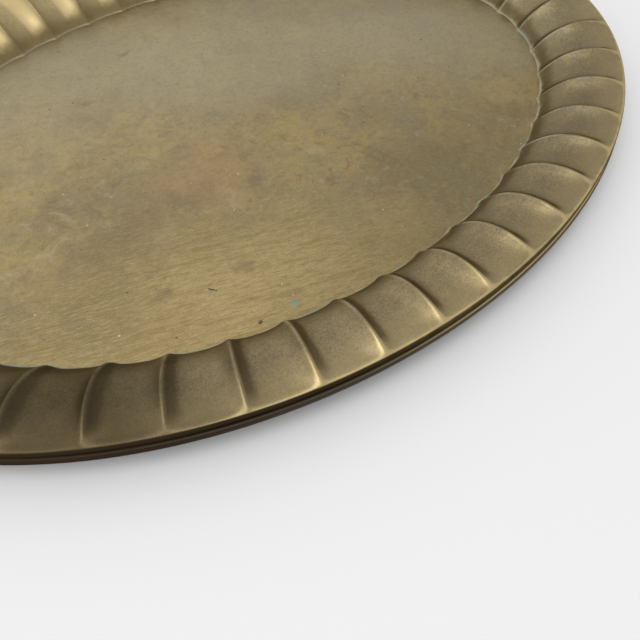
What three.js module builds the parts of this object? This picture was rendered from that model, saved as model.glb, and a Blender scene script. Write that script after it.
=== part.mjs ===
// Large oval serving tray in brass, with a fluted "pie-crust" rim and a wired edge.
// Millimetres, +Z up. The origin is on the table under the middle of the tray,
// with X along the tray's length and Y across it.
import * as THREE from "three";

// Driving dimensions
const FLOOR_LENGTH = 494;
const FLOOR_WIDTH = 336;
const RIM_WIDTH = 53;
const SHEET = 0.8;
const FLUTES = 44;

// Heights and reaches of the rim: [distance out from the floor's oval, height above the floor].
// The crest line runs along a ridge between two flutes, and the hollow line along a flute's middle.
// Both are cubic curves with these four points.
const CREST = [[0, 0], [9, 19], [27, 29.5], [49.4, 22]];
const HOLLOW = [[2, 0], [9, 13], [26, 19.5], [49.4, 21]];
const SHOULDER = [50.8, 20.4];
const BAND = [51.2, 17.8];

// Rolled edge: the sheet is curled round a wire, and leaves a seam on the inner side.
const WIRE_RADIUS = 0.9;
const WIRE_GAP = 0.3;
const CURL_HEIGHT = 13;
const CURL_START = THREE.MathUtils.degToRad(100);
const CURL_TURN = THREE.MathUtils.degToRad(290);
const CURL_STEPS = 5;
const WIRE_SIDES = 6;

// How finely the rim is stepped. A flute runs from -0.5 to 0.5, with a ridge at each end.
const RIM_STEPS = 4;
const FLUTE_STATIONS = [-0.3, 0, 0.3, 0.5];
const HOLLOW_SHARPNESS = 2.6;
const OVAL_DIVISIONS = 4000;

// The curl's inner flats clear the wire by WIRE_GAP, so its corners stand a little further out.
const CURL_INSIDE = (WIRE_RADIUS + WIRE_GAP) / Math.cos(CURL_TURN / CURL_STEPS / 2);
const CURL_OUTSIDE = CURL_INSIDE + SHEET;
const CURL_CENTRE = [RIM_WIDTH - CURL_OUTSIDE, CURL_HEIGHT];

// The places round the tray where the rim is cut: a point on the floor's oval, the direction
// straight out from it, and how much of the ridge stands there, from 0 in a flute to 1 on a crest.
function rimStations() {
  const oval = new THREE.EllipseCurve(0, 0, FLOOR_LENGTH / 2, FLOOR_WIDTH / 2);
  oval.arcLengthDivisions = OVAL_DIVISIONS;
  const stations = [];
  for (let flute = 0; flute < FLUTES; flute++) {
    for (const across of FLUTE_STATIONS) {
      const share = ((flute + across + FLUTES) % FLUTES) / FLUTES;
      const along = oval.getTangentAt(share);
      stations.push({
        point: oval.getPointAt(share),
        out: new THREE.Vector2(along.y, -along.x),
        crest: Math.abs(2 * across) ** HOLLOW_SHARPNESS,
      });
    }
  }
  return stations;
}

function cubic(points) {
  return new THREE.CubicBezierCurve(...points.map(([out, up]) => new THREE.Vector2(out, up)));
}

// Upper side of the sheet at one station, as points of [out, up] from the floor to the edge.
function upperSide(crest) {
  const ridge = cubic(CREST);
  const hollow = cubic(HOLLOW);
  const side = [];
  for (let step = 0; step <= RIM_STEPS; step++) {
    const t = step / RIM_STEPS;
    side.push(hollow.getPoint(t).lerp(ridge.getPoint(t), crest));
  }
  side.push(new THREE.Vector2(...SHOULDER), new THREE.Vector2(...BAND));
  for (let step = 0; step <= CURL_STEPS; step++) {
    const angle = CURL_START - (CURL_TURN * step) / CURL_STEPS;
    side.push(new THREE.Vector2(
      CURL_CENTRE[0] + CURL_OUTSIDE * Math.cos(angle),
      CURL_CENTRE[1] + CURL_OUTSIDE * Math.sin(angle),
    ));
  }
  return side;
}

// The same line one sheet thickness lower, with each corner kept at the full thickness.
function lowerSide(upper) {
  const normals = [new THREE.Vector2(0, -1)];
  for (let i = 1; i < upper.length; i++) {
    const step = upper[i].clone().sub(upper[i - 1]).normalize();
    normals.push(new THREE.Vector2(step.y, -step.x));
  }
  return upper.map((point, i) => {
    const before = normals[i];
    const after = normals[Math.min(i + 1, upper.length - 1)];
    const bisector = before.clone().add(after).normalize();
    return point.clone().addScaledVector(bisector, SHEET / bisector.dot(before));
  });
}

// A point of a station's section, moved into the tray's frame.
function placed(station, point) {
  return [
    station.point.x + station.out.x * point.x,
    station.point.y + station.out.y * point.x,
    SHEET + point.y,
  ];
}

// Triangles between neighbouring sections all round the tray. A section is a list of points;
// `closed` joins its last point to its first.
function roundSurface(sections, closed) {
  const size = sections[0].length;
  const triangles = [];
  sections.forEach((_, i) => {
    const here = i * size;
    const next = ((i + 1) % sections.length) * size;
    for (let j = 0; j < (closed ? size : size - 1); j++) {
      const k = (j + 1) % size;
      triangles.push(here + j, here + k, next + j);
      triangles.push(here + k, next + k, next + j);
    }
  });
  return triangles;
}

function solid(points, triangles) {
  const geometry = new THREE.BufferGeometry();
  geometry.setAttribute("position", new THREE.Float32BufferAttribute(points.flat(), 3));
  geometry.setIndex(triangles);
  geometry.computeVertexNormals();
  return geometry;
}

// The tray itself: one sheet, from the middle of the floor to the end of the curl and back beneath.
function traySheet(stations) {
  const sections = stations.map((station) => {
    const upper = upperSide(station.crest);
    const lower = lowerSide(upper).reverse();
    return [...upper, ...lower].map((point) => placed(station, point));
  });
  const size = sections[0].length;
  const points = sections.flat();
  const triangles = roundSurface(sections, false);
  const floorTop = points.push([0, 0, SHEET]) - 1;
  const floorUnderside = points.push([0, 0, 0]) - 1;
  sections.forEach((_, i) => {
    const here = i * size;
    const next = ((i + 1) % sections.length) * size;
    triangles.push(floorTop, here, next);
    triangles.push(floorUnderside, next + size - 1, here + size - 1);
  });
  return solid(points, triangles);
}

// The stiffening wire, a closed oval ring that lies free in the curl.
function rimWire(stations) {
  const sections = stations.map((station) => {
    const section = [];
    for (let side = 0; side < WIRE_SIDES; side++) {
      const angle = -(2 * Math.PI * side) / WIRE_SIDES;
      section.push(placed(station, new THREE.Vector2(
        CURL_CENTRE[0] + WIRE_RADIUS * Math.cos(angle),
        CURL_CENTRE[1] + WIRE_RADIUS * Math.sin(angle),
      )));
    }
    return section;
  });
  return solid(sections.flat(), roundSurface(sections, true));
}

function part(name, geometry, colour, roughness) {
  const material = new THREE.MeshStandardMaterial({ color: colour, roughness, metalness: 1 });
  const mesh = new THREE.Mesh(geometry, material);
  mesh.name = name;
  return mesh;
}

const stations = rimStations();
const tray = new THREE.Group();
tray.add(part("tray_sheet", traySheet(stations), 0x9b8a63, 0.42));
tray.add(part("rim_wire", rimWire(stations), 0x7d6a42, 0.5));

export default tray;
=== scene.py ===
# The oval brass tray: its fine mesh, aged brass materials, studio and camera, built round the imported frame.
import math
import random

import bpy
import numpy as np
from mathutils import Matrix, Vector


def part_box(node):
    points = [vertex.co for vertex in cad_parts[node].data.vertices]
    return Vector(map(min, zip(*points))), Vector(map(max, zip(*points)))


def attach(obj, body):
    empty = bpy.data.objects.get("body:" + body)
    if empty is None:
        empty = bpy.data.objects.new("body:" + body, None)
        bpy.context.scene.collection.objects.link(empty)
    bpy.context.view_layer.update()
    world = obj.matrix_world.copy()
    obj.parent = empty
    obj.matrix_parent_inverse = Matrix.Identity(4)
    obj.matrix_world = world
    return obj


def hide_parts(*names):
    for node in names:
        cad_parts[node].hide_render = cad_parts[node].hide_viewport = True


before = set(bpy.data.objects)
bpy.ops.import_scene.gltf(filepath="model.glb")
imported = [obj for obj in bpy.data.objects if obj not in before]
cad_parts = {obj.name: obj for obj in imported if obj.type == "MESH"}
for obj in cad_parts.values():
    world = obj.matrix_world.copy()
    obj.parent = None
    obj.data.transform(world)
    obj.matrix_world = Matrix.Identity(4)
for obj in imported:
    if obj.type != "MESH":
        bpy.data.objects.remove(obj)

MM = 0.001
random.seed(7)
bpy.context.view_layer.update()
sheet_low, sheet_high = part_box("tray_sheet")

# ---------------------------------------------------------------- the tray's shape, in millimetres
SHEET = 0.8
FLUTES = 44
EDGE_REACH = 52.92            # how far the rolled edge reaches out from the floor's oval
CREST = [(0, 0), (9, 19), (27, 29.2), (50.0, 21.8)]
HOLLOW = [(2, 0), (9, 13), (26, 19.5), (50.0, 20.9)]
SHOULDER_TURN = [(51.1, 21.4), (51.4, 20.4), (51.2, 17.8)]
NECK = (50.6, 15.3)
CURL_CENTRE = (50.83, 13.0)
CURL_RADIUS = 2.09
CURL_START = math.radians(100)
CURL_TURN = math.radians(290)
WIRE_RADIUS = 0.9

HALF_LENGTH = sheet_high.x / MM - EDGE_REACH
HALF_WIDTH = sheet_high.y / MM - EDGE_REACH
TOP = sheet_high.z / MM

# Fineness of the mesh
STEPS_PER_FLUTE = 20
FLOOR_RINGS = 26
WALL_STEPS = 30
TURN_STEPS = 8
CURL_STEPS = 14
WIRE_SIDES = 10

# Flutes: shape across the hollow, and how unevenly they were worked by hand
HOLLOW_SHARPNESS = 3.0
CREST_ROUNDING = 0.4
CORNER_POWER = 3.0
LIP_STEEPNESS = 6.0           # how much quicker a hollow ends at the shoulder than at a ridge
RIDGE_SHIFT = 0.02            # of a flute's width
DENT_DEPTH = 0.06
DEPTH_SPREAD = 0.12

# Waves that add up to the floor's unevenness: radians per millimetre along X and Y, phase
DENT_WAVES = [
    (0.021, 0.013, 0.4),
    (-0.012, 0.027, 1.7),
    (0.034, -0.019, 2.9),
    (0.009, 0.041, 5.1),
    (0.05, 0.03, 0.8),
]

# Colours of the brass, of what has settled on it, and of painted highlight and shade
GOLDEN = (0.38, 0.285, 0.115)
OLIVE = (0.28, 0.22, 0.105)
DEEP_OLIVE = (0.165, 0.128, 0.052)
PALE_OLIVE = (0.42, 0.375, 0.25)
GREY_OLIVE = (0.25, 0.215, 0.135)
BROWN = (0.2, 0.145, 0.075)
COPPERY = (0.41, 0.265, 0.13)
PALE_GOLD = (0.5, 0.385, 0.18)
# Worn brass, also painted on as highlight
WORN_AND_HIGHLIGHT = (0.62, 0.485, 0.235)
PIT_BROWN = (0.11, 0.08, 0.042)
RUBBED_BROWN = (0.24, 0.165, 0.058)
DARK = (0.085, 0.06, 0.033)
# Grime, also painted on as shade
GRIME_AND_SHADE = (0.035, 0.025, 0.016)
BLACK_BROWN = (0.05, 0.036, 0.02)
UNDERSIDE = (0.17, 0.125, 0.06)
RESIDUE = (0.4, 0.345, 0.24)
SPECK = (0.58, 0.55, 0.46)
VERDIGRIS_TINT = (0.25, 0.32, 0.26)
VERDIGRIS = (0.15, 0.33, 0.29)

# Large areas of patina, placed where the photo shows lighter and darker brass. The golden area on
# the near left and the greyer far side are partly painted reflection, and the darker right side is
# partly painted shade. They stay where they are when the light changes.
# Centre, length and width, direction in degrees, softness, raggedness, part, share, colour
PATINA_AND_PAINTED_LIGHT = [
    ((-58, -43), (64, 44), 30, 0.8, 0.6, None, 0.6, COPPERY),
    ((112, 22), (56, 26), -30, 0.8, 0.6, None, 0.35, COPPERY),
    ((-116, -56), (96, 24), 8, 0.8, 0.7, None, 0.55, BROWN),
    ((-30, -205), (240, 80), 4, 0.6, 0.2, "rim", 0.55, GOLDEN),
    ((195, -110), (230, 170), 30, 0.6, 0.3, "rim", 0.7, DEEP_OLIVE),
    ((-92, -130), (190, 90), -14, 0.7, 0.5, None, 0.85, GOLDEN),
    ((-152, -108), (90, 70), 0, 0.8, 0.5, "floor", 0.42, DEEP_OLIVE),
    ((-76, -126), (80, 44), -14, 0.8, 0.6, None, 0.4, PALE_GOLD),
    ((75, -140), (150, 90), 30, 0.7, 0.4, None, 0.35, DEEP_OLIVE),
    ((170, 0), (160, 90), -32, 0.7, 0.4, None, 0.6, PALE_OLIVE),
    ((-90, 95), (360, 130), -8, 0.8, 0.4, "floor", 0.5, PALE_OLIVE),
    ((70, 45), (400, 140), -32, 0.8, 0.4, None, 0.42, PALE_OLIVE),
    ((-84, 60), (60, 26), 20, 0.8, 0.6, None, 0.4, GREY_OLIVE),
]

# Single marks on the floor: centre, length and width, direction in degrees, colour
MARKS = [
    ((-62, -155), (4.5, 2.2), -10, VERDIGRIS),
    ((-94, -121), (5, 1), -50, DARK),
    ((57, 85), (16, 1.8), -55, RESIDUE),
    ((-84, -154), (2.6, 2), 0, DARK),
    ((65, -11), (3, 2), 0, RESIDUE),
]

# Faint brown smudges on the floor: centre, length and width, direction in degrees
SMUDGES = [
    ((-39, 111), (10, 5), 10),
    ((-88, 72), (10, 6), 0),
    ((-30, -62), (13, 7), 15),
    ((-70, -118), (15, 8), -20),
    ((-118, -108), (16, 7), -10),
    ((112, -60), (10, 5), 40),
]

# Finish of the brass
COAT_ROUGHNESS = 0.4
EDGE_TINT = (0.5, 0.43, 0.32, 1)

# Relief in the brass's surface, in millimetres
WAVE_DEPTH = 0.35
STREAK_DEPTH = 0.012
GRAIN_DEPTH = 0.03


def oval_stations(shares):
    """Points on the floor's oval and its outward directions, at these shares of the way round."""
    turn = np.linspace(0, 2 * math.pi, 20001)
    points = np.stack([HALF_LENGTH * np.cos(turn), HALF_WIDTH * np.sin(turn)], 1)
    lengths = np.concatenate([[0], np.cumsum(np.linalg.norm(np.diff(points, axis=0), axis=1))])
    angle = np.interp(np.mod(shares, 1) * lengths[-1], lengths, turn)
    point = np.stack([HALF_LENGTH * np.cos(angle), HALF_WIDTH * np.sin(angle)], 1)
    out = np.stack([HALF_WIDTH * np.cos(angle), HALF_LENGTH * np.sin(angle)], 1)
    return point, out / np.linalg.norm(out, axis=1)[:, None], lengths[-1]


def flute_stations():
    """Stations round the rim, closer together at the ridges: share of the way round, place across
    the flute (0 on a ridge, 1 in the middle), the side of the flute that it is on (above zero just
    after a ridge, below zero just before one), and the flute's own depth factor."""
    shifts = [random.uniform(-RIDGE_SHIFT, RIDGE_SHIFT) for _ in range(FLUTES)]
    depths = [1 + random.uniform(-DEPTH_SPREAD, DEPTH_SPREAD) for _ in range(FLUTES)]
    shares, across, side, depth = [], [], [], []
    for flute in range(FLUTES):
        start = flute - 0.5 + shifts[flute - 1]
        end = flute + 0.5 + shifts[flute]
        for step in range(STEPS_PER_FLUTE):
            w = step / STEPS_PER_FLUTE
            v = w - 0.5 * math.sin(2 * math.pi * w) / (2 * math.pi)
            shares.append((start + v * (end - start)) / FLUTES)
            across.append(1 - abs(2 * v - 1))
            side.append(math.sin(2 * math.pi * v))
            depth.append(depths[flute])
    return np.array(shares), np.array(across), np.array(side), np.array(depth)


def cubic(points, t):
    p = np.array(points, float)
    t = np.asarray(t)[:, None]
    return (1 - t) ** 3 * p[0] + 3 * (1 - t) ** 2 * t * p[1] + 3 * (1 - t) * t ** 2 * p[2] + t ** 3 * p[3]


def upper_rows(across, depth, half_pitch):
    """The rim's upper side as rows from the floor's edge to the end of the curl. Each row holds the
    reach and height at every station, and its crest share (1 on a ridge, 0 in a hollow)."""
    rows = []
    for t in np.linspace(0, 1, WALL_STEPS + 1):
        crest = cubic(CREST, [t])[0]
        hollow = cubic(HOLLOW, [t])[0]
        from_ridge = across * half_pitch * (1 + 0.2 * t)
        to_edge = LIP_STEEPNESS * max(CREST[3][0] - crest[0], 1e-3)
        nearness = np.maximum(from_ridge, 1e-3) ** -CORNER_POWER + to_edge ** -CORNER_POWER
        inside = nearness ** (-1 / CORNER_POWER)
        width = half_pitch * (1 + 0.2 * t)
        rounded = np.sqrt(inside ** 2 + CREST_ROUNDING ** 2) - CREST_ROUNDING
        full = math.sqrt(width ** 2 + CREST_ROUNDING ** 2) - CREST_ROUNDING
        share = np.clip(1 - rounded / full, 0, 1) ** HOLLOW_SHARPNESS
        drop = (1 - share) * depth
        reach = crest[0] + drop * (hollow[0] - crest[0])
        height = crest[1] + drop * (hollow[1] - crest[1])
        rows.append((reach, height, share, t))
    reach, _, share, _ = rows[-1]
    for t in np.linspace(0, 1, TURN_STEPS + 1)[1:]:
        point = cubic([CREST[3]] + SHOULDER_TURN, [t])[0]
        rows.append((np.full_like(reach, point[0]), np.full_like(reach, point[1]), share, 1 + t))
    rows.append((np.full_like(reach, NECK[0]), np.full_like(reach, NECK[1]), share, 2.1))
    for step in range(CURL_STEPS + 1):
        angle = CURL_START - CURL_TURN * step / CURL_STEPS
        out = CURL_CENTRE[0] + CURL_RADIUS * math.cos(angle)
        up = CURL_CENTRE[1] + CURL_RADIUS * math.sin(angle)
        rows.append((np.full_like(reach, out), np.full_like(reach, up), share, 2.2 + step / CURL_STEPS))
    return rows


def dents(x, y):
    """Gentle unevenness of the hand-worked floor, in millimetres and never below zero."""
    total = sum(np.sin(a * x + b * y + phase) for a, b, phase in DENT_WAVES)
    return DENT_DEPTH * (1 + total / len(DENT_WAVES))


def build_mesh(name, vertices, faces, attributes=None):
    mesh = bpy.data.meshes.new(name)
    mesh.from_pydata((np.asarray(vertices) * MM).tolist(), [], faces)
    for key, values in (attributes or {}).items():
        layer = mesh.attributes.new(key, "FLOAT", "POINT")
        layer.data.foreach_set("value", np.asarray(values, np.float32))
    mesh.polygons.foreach_set("use_smooth", [True] * len(mesh.polygons))
    mesh.update()
    piece = bpy.data.objects.new(name, mesh)
    bpy.context.scene.collection.objects.link(piece)
    return piece


def ring_faces(rows, count, closed):
    """Quads between neighbouring rows of `count` points each, all round the tray."""
    faces = []
    for j in range(rows if closed else rows - 1):
        here = j * count
        above = ((j + 1) % rows) * count
        for i in range(count):
            k = (i + 1) % count
            faces.append((here + i, above + i, above + k, here + k))
    return faces


def make_tray():
    shares, across, side, depth = flute_stations()
    point, out, girth = oval_stations(shares)
    half_pitch = girth / FLUTES / 2
    rim = upper_rows(across, depth, half_pitch)
    count = len(shares)
    upper, lower, values = [], [], []

    reaches = np.array([row[0] for row in rim])
    heights = np.array([row[1] for row in rim])
    run = np.gradient(reaches, axis=0)
    rise = np.gradient(heights, axis=0)
    steep = np.hypot(run, rise)
    # The floor is level, so the first row leans half way between the floor and the wall.
    down_out, down_up = rise / steep, -run / steep
    down_out[0], down_up[0] = down_out[0] / 2, (down_up[0] - 1) / 2
    length = np.hypot(down_out[0], down_up[0])
    down_out[0], down_up[0] = down_out[0] / length, down_up[0] / length

    edge = point + out * reaches[0][:, None]
    for ring in range(1, FLOOR_RINGS + 1):
        far = ring / (FLOOR_RINGS + 1)
        flat = edge * (1 - (1 - far) ** 1.4)
        lift = dents(flat[:, 0], flat[:, 1])
        upper.append(np.column_stack([flat, SHEET + lift]))
        lower.append(np.column_stack([flat, lift]))
        values.append((np.zeros(count), np.full(count, -1.0)))
    flat = edge - out * 0.6
    lift = dents(flat[:, 0], flat[:, 1])
    upper.append(np.column_stack([flat, SHEET + lift]))
    lower.append(np.column_stack([flat, lift]))
    values.append((np.zeros(count), np.full(count, -0.02)))
    for j, (reach, height, share, t) in enumerate(rim):
        flat = point + out * reach[:, None]
        lift = dents(point[:, 0], point[:, 1]) * max(0.0, 1 - t)
        top = np.column_stack([flat, SHEET + height + lift])
        under = point + out * (reach + SHEET * down_out[j])[:, None]
        beneath = np.column_stack([under, SHEET + height + lift + SHEET * down_up[j]])
        upper.append(top)
        lower.append(beneath)
        values.append((share, np.full(count, t)))
    rows = upper + lower[::-1]
    crest = [v[0] for v in values] + [v[0] for v in values[::-1]]
    along = [v[1] for v in values] + [v[1] for v in values[::-1]]
    under = [np.zeros(count)] * len(upper) + [np.ones(count)] * len(lower)
    vertices = np.concatenate(rows)
    vertices[:, 2] = np.clip(vertices[:, 2], 0, TOP)
    faces = ring_faces(len(rows), count, False)
    middle = np.array([[0, 0, SHEET + dents(0, 0)], [0, 0, dents(0, 0)]])
    top_centre, low_centre = len(vertices), len(vertices) + 1
    last = (len(rows) - 1) * count
    for i in range(count):
        k = (i + 1) % count
        faces.append((top_centre, i, k))
        faces.append((low_centre, last + k, last + i))
    vertices = np.concatenate([vertices, middle])
    attributes = {
        "crest": np.append(np.concatenate(crest), [0, 0]),
        "along": np.append(np.concatenate(along), [-1, -1]),
        "under": np.append(np.concatenate(under), [0, 1]),
        "side": np.append(np.tile(side, len(rows)), [0, 0]),
    }
    return build_mesh("brass_tray", vertices, faces, attributes)


def make_wire():
    count = FLUTES * STEPS_PER_FLUTE
    point, out, _ = oval_stations(np.arange(count) / count)
    rows = []
    for side in range(WIRE_SIDES):
        angle = -2 * math.pi * side / WIRE_SIDES
        reach = CURL_CENTRE[0] + WIRE_RADIUS * math.cos(angle)
        height = SHEET + CURL_CENTRE[1] + WIRE_RADIUS * math.sin(angle)
        rows.append(np.column_stack([point + out * reach, np.full(count, height)]))
    return build_mesh("edge_wire", np.concatenate(rows), ring_faces(WIRE_SIDES, count, True))


# ---------------------------------------------------------------- materials
class Nodes:
    """A new material's node tree, with a short call for each kind of node that the brass needs."""

    def __init__(self, name):
        self.material = bpy.data.materials.new(name)
        self.material.use_nodes = True
        self.tree = self.material.node_tree
        self.shader = self.tree.nodes["Principled BSDF"]
        self.place = self.add("TexCoord").outputs["Object"]

    def add(self, kind, inputs=None, **settings):
        node = self.tree.nodes.new("ShaderNode" + kind)
        for key, value in settings.items():
            setattr(node, key, value)
        for key, value in (inputs or {}).items():
            self.put(node.inputs[key], value)
        return node

    def put(self, socket, value):
        if isinstance(value, bpy.types.NodeSocket):
            self.tree.links.new(value, socket)
        else:
            socket.default_value = value

    def attribute(self, name):
        return self.add("Attribute", attribute_name=name).outputs["Fac"]

    def math(self, operation, *values):
        return self.add("Math", dict(enumerate(values)), operation=operation, use_clamp=False).outputs[0]

    def times(self, *values):
        total = values[0]
        for value in values[1:]:
            total = self.math("MULTIPLY", total, value)
        return total

    def plus(self, *values):
        total = values[0]
        for value in values[1:]:
            total = self.math("ADD", total, value)
        return total

    def ramp(self, value, start, end, low=0.0, high=1.0):
        """Runs smoothly from low to high while the value goes from start to end."""
        inputs = {"Value": value, "From Min": start, "From Max": end, "To Min": low, "To Max": high}
        return self.add("MapRange", inputs, interpolation_type="SMOOTHSTEP").outputs["Result"]

    def bump_at(self, value, centre, reach):
        """1 where the value is at the centre, fading to 0 at this reach on either side."""
        off = self.math("ABSOLUTE", self.math("SUBTRACT", value, centre))
        return self.ramp(off, reach, 0)

    def noise(self, size, detail=2.0, roughness=0.5, place=None, distortion=0.0):
        """Cloudy noise whose blotches are about this many millimetres across."""
        inputs = {"Vector": place or self.place, "Scale": 1 / (size * MM), "Detail": detail,
                  "Roughness": roughness, "Distortion": distortion}
        return self.add("TexNoise", inputs).outputs["Fac"]

    def cells(self, size, place=None):
        """Distance to the nearest of many scattered points, about this many millimetres apart."""
        inputs = {"Vector": place or self.place, "Scale": 1 / (size * MM)}
        return self.add("TexVoronoi", inputs).outputs["Distance"]

    def turned(self, angle, stretch, shift=(0, 0)):
        """Coordinates turned by an angle in degrees, and drawn out along the turned X."""
        inputs = {"Vector": self.place, "Location": (-shift[0] * MM, -shift[1] * MM, 0)}
        moved = self.add("Mapping", inputs).outputs[0]
        inputs = {"Vector": moved, "Rotation": (0, 0, math.radians(-angle))}
        spun = self.add("Mapping", inputs).outputs[0]
        return self.add("Mapping", {"Vector": spun, "Scale": (1 / stretch, 1, 1)}).outputs[0]

    def mark(self, centre, size, angle=0.0, soft=0.5, ragged=0.0):
        """A single oval mark on the tray: 1 inside, 0 outside. Lengths in millimetres."""
        place = self.turned(angle, size[0] / size[1], centre)
        flat = self.add("Mapping", {"Vector": place, "Scale": (1, 1, 0)}).outputs[0]
        away = self.add("VectorMath", {0: flat}, operation="LENGTH").outputs["Value"]
        if ragged:
            uneven = self.math("SUBTRACT", self.noise(size[1] * 0.7, 3), 0.5)
            away = self.plus(away, self.times(uneven, 2 * ragged * size[1] * MM))
        radius = size[1] / 2 * MM
        return self.ramp(away, radius * (1 + soft), radius * (1 - soft))

    def blend(self, share, first, second, kind="MIX"):
        mix = self.add("Mix", {0: share}, data_type="RGBA", blend_type=kind)
        for socket, colour in ((mix.inputs[6], first), (mix.inputs[7], second)):
            self.put(socket, colour if isinstance(colour, bpy.types.NodeSocket) else (*colour, 1))
        return mix.outputs[2]


def aged_brass():
    n = Nodes("aged_brass")
    crest = n.attribute("crest")
    along = n.attribute("along")
    under = n.attribute("under")
    side = n.attribute("side")
    on_rim = n.ramp(along, -0.02, 0.06)
    on_floor = n.math("SUBTRACT", 1, on_rim)
    far_side = n.mark((-40, 190), (560, 190), 4, 0.35, 0.1)
    near_side = n.math("SUBTRACT", 1, far_side)

    # Patina in clouds: olive brass, greyer and browner areas, and a faint coppery bloom
    clouds = n.noise(75, 4, 0.55, distortion=0.6)
    blotches = n.noise(22, 5, 0.6, distortion=0.9)
    brown = n.noise(34, 4, 0.55, place=n.turned(60, 1.5), distortion=0.5)
    colour = n.blend(n.ramp(clouds, 0.36, 0.64), OLIVE, GOLDEN)
    colour = n.blend(n.ramp(blotches, 0.46, 0.68, 0, 0.55), colour, GREY_OLIVE)
    colour = n.blend(n.ramp(brown, 0.54, 0.72, 0, 0.5), colour, BROWN)
    smears = n.noise(13, 6, 0.68, distortion=1.6)
    colour = n.blend(n.times(n.ramp(smears, 0.52, 0.66), on_floor, 0.55), colour, BROWN)
    colour = n.blend(n.times(n.ramp(smears, 0.46, 0.32), on_floor, 0.5), colour, PALE_OLIVE)
    parts = {"rim": [on_rim], "floor": [on_floor], None: []}
    # These areas are partly patina and partly painted light: painted reflection on the near left and far
    # side, painted shade on the right.
    for centre, size, angle, soft, uneven, part, share, tone in PATINA_AND_PAINTED_LIGHT:
        area_share = n.times(n.mark(centre, size, angle, soft, uneven), *parts[part], share)
        colour = n.blend(area_share, colour, tone)

    # Fine streaks from rubbing, all one way across the floor
    rubbed = n.turned(-16, 10)
    streaks = n.noise(0.7, 3, 0.65, place=rubbed)
    wide_streaks = n.noise(4.0, 2, 0.5, place=n.turned(-18, 9))
    rubbed_area = n.mark((-110, -128), (260, 120), -14, 0.8, 0.4)
    streak_share = n.times(on_floor, n.ramp(rubbed_area, 0, 1, 0.15, 1))
    light_streaks = n.times(n.ramp(streaks, 0.5, 0.66), streak_share, 0.5)
    dark_streaks = n.times(n.ramp(streaks, 0.5, 0.34), streak_share, 0.6)
    colour = n.blend(light_streaks, colour, PALE_GOLD)
    colour = n.blend(dark_streaks, colour, RUBBED_BROWN)
    colour = n.blend(n.times(n.ramp(wide_streaks, 0.5, 0.68), streak_share, 0.45), colour, RUBBED_BROWN)

    # Grain: the pressed rim is pitted all over, the floor has scattered specks
    grain = n.noise(0.9, 3, 0.75)
    pits = n.times(n.ramp(grain, 0.53, 0.37), n.ramp(on_rim, 0, 1, 0.25, 0.8))
    colour = n.blend(pits, colour, PIT_BROWN)
    dapple = n.noise(3.0, 5, 0.7, distortion=0.4)
    dapple_share = n.ramp(on_rim, 0, 1, 0.45, 1)
    colour = n.blend(n.times(n.ramp(dapple, 0.5, 0.38), dapple_share, 0.6), colour, BROWN)
    colour = n.blend(n.times(n.ramp(dapple, 0.52, 0.64), dapple_share, 0.5), colour, GOLDEN)
    grit = n.times(n.ramp(n.noise(0.7, 2, 0.6, place=n.turned(40, 1.6)), 0.58, 0.74), 0.3)
    colour = n.blend(n.plus(grit, n.times(n.ramp(grain, 0.54, 0.66), on_rim, 0.45)), colour, PALE_GOLD)
    specks = n.times(n.ramp(n.cells(13), 0.075, 0.045), n.ramp(n.noise(45), 0.42, 0.62))
    pale_cells = n.ramp(n.cells(12, n.turned(35, 1.1)), 0.06, 0.03)
    pale_specks = n.times(pale_cells, n.ramp(n.noise(60), 0.36, 0.54), on_floor)
    colour = n.blend(n.times(specks, 0.75), colour, DARK)
    colour = n.blend(n.times(pale_specks, 0.75), colour, SPECK)
    for centre, size, angle in SMUDGES:
        colour = n.blend(n.times(n.mark(centre, size, angle, 0.95, 0.9), 0.55), colour, BROWN)
    for centre, size, angle, tone in MARKS:
        colour = n.blend(n.mark(centre, size, angle, 0.5, 0.9), colour, tone)

    # The rim. The steep base of the wall is darkened with painted shade and some grime, the ridges and
    # shoulder carry wear and painted highlights, and the strip above the rolled edge is painted shade. The
    # near rim is painted darker with painted shade and the far rim lighter with painted light, as in the
    # photo, whatever the light does.
    ragged = n.math("SUBTRACT", n.noise(7, 4, 0.6), 0.5)
    height = n.plus(along, n.times(ragged, 0.14))
    # Painted shade with some grime: the steep base of the wall next to the crease is darkened.
    foot_shade_and_grime = n.times(n.bump_at(height, 0.11, 0.17), n.ramp(along, 0, 0.03))
    colour = n.blend(n.times(foot_shade_and_grime, 0.82), colour, DARK)
    colour = n.blend(n.times(on_rim, 0.3), colour, GREY_OLIVE)
    # Painted shade darkens the near rim, and painted light brightens the far rim.
    colour = n.blend(n.times(n.mark((60, -190), (420, 260), 8, 0.5, 0.1), on_rim, 0.26), colour, DARK)
    colour = n.blend(n.times(far_side, on_rim, 0.6), colour, PALE_GOLD)
    mottle = n.noise(6.5, 4, 0.6, distortion=0.5)
    colour = n.blend(n.times(n.ramp(mottle, 0.5, 0.68), on_rim, 0.3), colour, BROWN)
    colour = n.blend(n.times(n.ramp(mottle, 0.46, 0.3), on_rim, 0.25), colour, GOLDEN)
    # Painted shade darkens the wall towards the floor, and a painted sheen lightens it towards the lip.
    colour = n.blend(n.times(n.ramp(height, 0.5, 0.15), on_rim, 0.42), colour, DEEP_OLIVE)
    outer_sheen = n.times(n.ramp(height, 0.6, 0.98), n.ramp(along, 1.1, 1.0), on_rim, 0.36)
    colour = n.blend(outer_sheen, colour, PALE_GOLD)
    # Dark patch on the near-left rim: partly tarnish, partly painted shade.
    tarnish = n.times(n.mark((-222, -170), (230, 150), -42, 0.55, 0.2), on_rim)
    polished = n.ramp(tarnish, 0.1, 0.6, 1, 0.08)
    ridge = n.ramp(crest, 0.78, 0.98)
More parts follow.
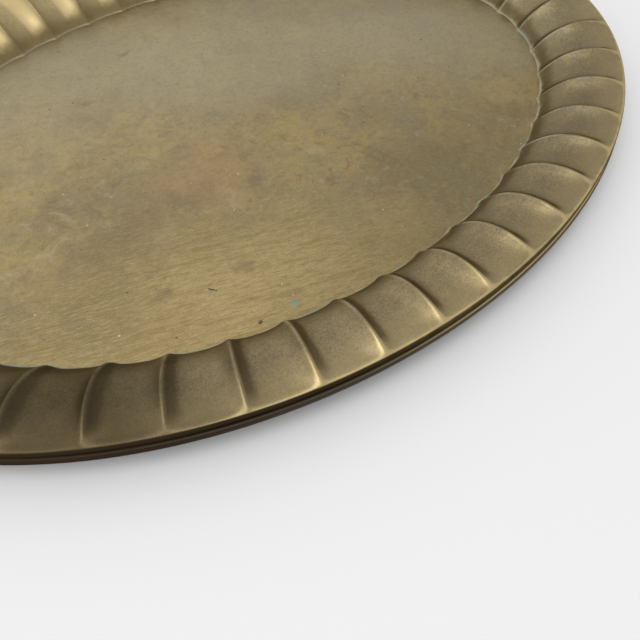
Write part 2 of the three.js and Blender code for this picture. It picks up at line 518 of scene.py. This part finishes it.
    # Painted shade on the side of each ridge that faces away from the light, on the near side of the tray.
    steep = n.times(n.ramp(n.plus(crest, n.times(ragged, 0.25)), 0.12, 0.42), n.ramp(crest, 0.95, 0.75))
    shaded_flank = n.times(steep, n.ramp(side, 0.05, 0.4), n.ramp(along, 0.96, 0.84), on_rim, near_side)
    colour = n.blend(n.times(shaded_flank, 0.62), colour, DARK)
    # Painted highlight on one side of each hollow on the far side of the tray.
    far_pan_highlight = n.times(far_side, n.ramp(side, 0.0, 0.7), n.ramp(height, 0.08, 0.3), n.ramp(along, 1.1, 0.9))
    colour = n.blend(n.times(far_pan_highlight, 0.85), colour, WORN_AND_HIGHLIGHT)
    inner = n.times(n.ramp(height, 0.75, 0.2), near_side)
    outer = n.ramp(height, 0.62, 0.97)
    colour = n.blend(n.times(ridge, inner, n.ramp(blotches, 0.36, 0.56), 0.75), colour, RESIDUE)
    # The ridges' outer parts are partly wear and partly painted highlight, with a painted glint where each
    # ridge meets the lip.
    colour = n.blend(n.times(ridge, outer, polished, 0.75), colour, WORN_AND_HIGHLIGHT)
    ridge_end_glint = n.times(n.ramp(crest, 0.6, 0.9), n.ramp(height, 0.86, 0.97), n.ramp(along, 1.08, 1.02), polished)
    colour = n.blend(n.times(ridge_end_glint, 0.8), colour, WORN_AND_HIGHLIGHT)
    # The lip of the shoulder: partly wear and partly painted highlight, with a painted glint on the near left
    # and darker patches that break it up.
    shoulder = n.bump_at(n.plus(along, n.times(ragged, 0.05)), 1.06, 0.11)
    lip_dark_patches = n.times(shoulder, n.ramp(blotches, 0.54, 0.44), 0.6)
    colour = n.blend(lip_dark_patches, colour, BROWN)
    lip_glint_patch = n.mark((-68, -205), (130, 60), 8, 0.5, 0.5)
    lip_wear_and_glint = n.math("MAXIMUM", n.times(n.ramp(blotches, 0.46, 0.58, 0, 0.85), polished), lip_glint_patch)
    shoulder = n.times(shoulder, lip_wear_and_glint)
    colour = n.blend(shoulder, colour, WORN_AND_HIGHLIGHT)
    # Painted shade: the strip above the rolled edge is darkened.
    shaded_band = n.times(n.ramp(height, 1.08, 1.3), n.ramp(along, 2.29, 2.25))
    colour = n.blend(n.times(shaded_band, n.ramp(blotches, 0.35, 0.62, 0.97, 0.84)), colour, GRIME_AND_SHADE)
    # Painted highlight along the top of the rolled edge.
    bead_highlight = n.times(n.bump_at(along, 2.3, 0.045), n.ramp(blotches, 0.36, 0.6, 0.06, 0.34))
    colour = n.blend(bead_highlight, colour, WORN_AND_HIGHLIGHT)
    # Painted shade on the underside of the rolled edge.
    curl_under = n.ramp(along, 2.32, 2.37)
    colour = n.blend(n.times(curl_under, 0.92), colour, GRIME_AND_SHADE)
    # The near-left dark patch: partly tarnish, partly painted shade.
    colour = n.blend(n.times(tarnish, 0.8), colour, BLACK_BROWN)
    # The outer edge is darker on the near left: partly tarnish, partly painted shade.
    edge_tarnish_and_shade = n.times(n.mark((-175, -190), (330, 200), -32, 0.5, 0.1), n.ramp(along, 1.12, 1.3))
    colour = n.blend(n.times(edge_tarnish_and_shade, 0.9), colour, GRIME_AND_SHADE)

    # Pale dried polish in the crease round the floor, faintly green in places
    wobble = n.math("SUBTRACT", n.noise(2.6, 3, 0.6), 0.5)
    crease = n.bump_at(n.plus(along, n.times(ragged, 0.12), n.times(wobble, 0.06)), 0.0, 0.075)
    crease = n.times(crease, n.ramp(n.noise(11, 4, 0.65), 0.34, 0.6), n.ramp(far_side, 0, 1, 1, 0.12))
    green = n.ramp(n.noise(26, 3), 0.5, 0.62)
    colour = n.blend(n.times(crease, 0.75), colour, n.blend(green, RESIDUE, VERDIGRIS_TINT))

    # The underside was never polished
    colour = n.blend(n.times(under, 0.75), colour, n.blend(blotches, UNDERSIDE, GRIME_AND_SHADE))

    n.put(n.shader.inputs["Base Color"], colour)
    n.put(n.shader.inputs["Coat Weight"], n.ramp(n.plus(foot_shade_and_grime, tarnish, shaded_flank, shaded_band), 0, 1, 0.5, 0.0))
    n.put(n.shader.inputs["Coat Roughness"], COAT_ROUGHNESS)
    n.put(n.shader.inputs["Specular Tint"], EDGE_TINT)
    dull = n.plus(n.times(crease, 0.5), n.times(ridge, inner, 0.25))
    n.put(n.shader.inputs["Metallic"], n.ramp(dull, 0, 0.6, 0.92, 0.35))
    polished_outer = n.times(n.ramp(height, 0.6, 0.98), on_rim, 0.5)
    worn_and_highlights = n.plus(n.times(ridge, outer), ridge_end_glint, polished_outer, shoulder, bead_highlight)
    roughness = n.plus(n.ramp(blotches, 0.3, 0.7, 0.33, 0.47), n.times(grain, 0.12),
                       n.times(pits, 0.1), n.times(crease, 0.2), n.times(foot_shade_and_grime, 0.12), n.times(under, 0.08))
    n.put(n.shader.inputs["Roughness"], n.math("SUBTRACT", roughness, n.times(n.ramp(worn_and_highlights, 0, 1), 0.12)))

    # Relief: soft waves in the sheet, rubbing lines, pits
    waves = n.times(n.noise(38, 2, 0.4), WAVE_DEPTH * MM)
    lines = n.times(streaks, streak_share, STREAK_DEPTH * MM)
    grains = n.times(grain, n.ramp(on_rim, 0, 1, 0.35, 1), GRAIN_DEPTH * MM)
    relief = n.plus(waves, lines, grains)
    bump = n.add("Bump", {"Height": relief, "Strength": 1.0, "Distance": 1.0})
    n.put(n.shader.inputs["Normal"], bump.outputs[0])
    return n.material


def wire_brass():
    n = Nodes("dull_wire")
    tarnish = n.noise(6, 4, 0.6)
    drawn = n.noise(0.5, 2, 0.5)
    n.put(n.shader.inputs["Base Color"], n.blend(n.ramp(tarnish, 0.35, 0.65), GRIME_AND_SHADE, UNDERSIDE))
    n.put(n.shader.inputs["Metallic"], 0.9)
    n.put(n.shader.inputs["Roughness"], n.ramp(tarnish, 0.3, 0.7, 0.45, 0.6))
    bump = n.add("Bump", {"Height": n.times(drawn, 0.02 * MM), "Strength": 1.0, "Distance": 1.0})
    n.put(n.shader.inputs["Normal"], bump.outputs[0])
    return n.material


# ---------------------------------------------------------------- studio and camera
# The camera, fitted to the photo by points read off it. Its distance is in half-lengths of the floor,
# and its angles are in radians.
CAMERA_DISTANCE = 1.5428
CAMERA_AROUND = -0.4631
CAMERA_ABOVE = 0.6294
CAMERA_YAW = -0.106
CAMERA_PITCH = -0.4169
CAMERA_ROLL = 0.0974
FOCAL_LENGTH = 487.7 / 640    # of the picture's width
SENSOR_WIDTH = 36

# The world's light on its dim and its bright side, and where it turns from one to the other
WORLD_LIGHT = (0.64, 1.08)
WORLD_TURN = (-0.3, 0.65)
BRIGHT_SIDE = (-0.6, 0.8, 0)
FLOOR_REACH = 20000
FLOOR_HEIGHT = -0.4
FLOOR_COLOUR = (0.9, 0.9, 0.9, 1)
FLOOR_ROUGHNESS = 0.9
CEILING_PLACE = (-0.35, -0.1, 1.25)
CEILING_SIZE = 0.8
CEILING_POWER = 3.4


def turned(axis, vector, angle):
    return Matrix.Rotation(angle, 3, axis) @ vector


def make_camera():
    reach = CAMERA_DISTANCE * HALF_LENGTH * MM
    level = math.cos(CAMERA_ABOVE)
    back = Vector((
        math.sin(CAMERA_AROUND) * level,
        -math.cos(CAMERA_AROUND) * level,
        math.sin(CAMERA_ABOVE),
    ))
    ahead = -back
    right = ahead.cross(Vector((0, 0, 1))).normalized()
    up = right.cross(ahead)
    ahead, right = turned(up, ahead, CAMERA_YAW), turned(up, right, CAMERA_YAW)
    ahead, up = turned(right, ahead, CAMERA_PITCH), turned(right, up, CAMERA_PITCH)
    right, up = turned(ahead, right, CAMERA_ROLL), turned(ahead, up, CAMERA_ROLL)
    data = bpy.data.cameras.new("camera")
    data.sensor_width = SENSOR_WIDTH
    data.lens = FOCAL_LENGTH * SENSOR_WIDTH
    data.clip_start = 0.01
    camera = bpy.data.objects.new("camera", data)
    bpy.context.scene.collection.objects.link(camera)
    rotation = Matrix((right, up, -ahead)).transposed().to_4x4()
    camera.matrix_world = Matrix.Translation(back * reach + Vector((0, 0, SHEET * MM))) @ rotation
    bpy.context.scene.camera = camera


def make_studio():
    reach, low = FLOOR_REACH, FLOOR_HEIGHT
    corners = [(-reach, -reach, low), (reach, -reach, low), (reach, reach, low), (-reach, reach, low)]
    floor = build_mesh("floor", corners, [(0, 1, 2, 3)])
    material = bpy.data.materials.new("pale_floor")
    material.use_nodes = True
    shader = material.node_tree.nodes["Principled BSDF"]
    shader.inputs["Base Color"].default_value = FLOOR_COLOUR
    shader.inputs["Roughness"].default_value = FLOOR_ROUGHNESS
    floor.data.materials.append(material)
    world = bpy.data.worlds.new("studio")
    world.use_nodes = True
    # White all round, and gently dimmer on the tray's right
    tree = world.node_tree
    direction = tree.nodes.new("ShaderNodeTexCoord")
    facing = tree.nodes.new("ShaderNodeVectorMath")
    facing.operation = "DOT_PRODUCT"
    facing.inputs[1].default_value = BRIGHT_SIDE
    dimmer = tree.nodes.new("ShaderNodeMapRange")
    for name, value in zip(("From Min", "From Max", "To Min", "To Max"), (*WORLD_TURN, *WORLD_LIGHT)):
        dimmer.inputs[name].default_value = value
    tree.links.new(direction.outputs["Generated"], facing.inputs[0])
    tree.links.new(facing.outputs["Value"], dimmer.inputs["Value"])
    tree.links.new(dimmer.outputs["Result"], tree.nodes["Background"].inputs["Strength"])
    tree.nodes["Background"].inputs["Color"].default_value = (1, 1, 1, 1)
    bpy.context.scene.world = world
    area("ceiling", CEILING_PLACE, (0, 0, 0), CEILING_SIZE, CEILING_POWER)


def area(name, place, target, size, power):
    data = bpy.data.lights.new(name, "AREA")
    data.size = size
    data.energy = power
    light = bpy.data.objects.new(name, data)
    bpy.context.scene.collection.objects.link(light)
    light.location = place
    light.rotation_mode = "QUATERNION"
    light.rotation_quaternion = (Vector(target) - Vector(place)).to_track_quat("-Z", "Y")


make_camera()
make_studio()
tray = make_tray()
tray.data.materials.append(aged_brass())
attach(tray, "root")
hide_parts("tray_sheet")
wire = make_wire()
wire.data.materials.append(wire_brass())
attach(wire, "root")
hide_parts("rim_wire")
bpy.context.scene.view_settings.view_transform = "Standard"
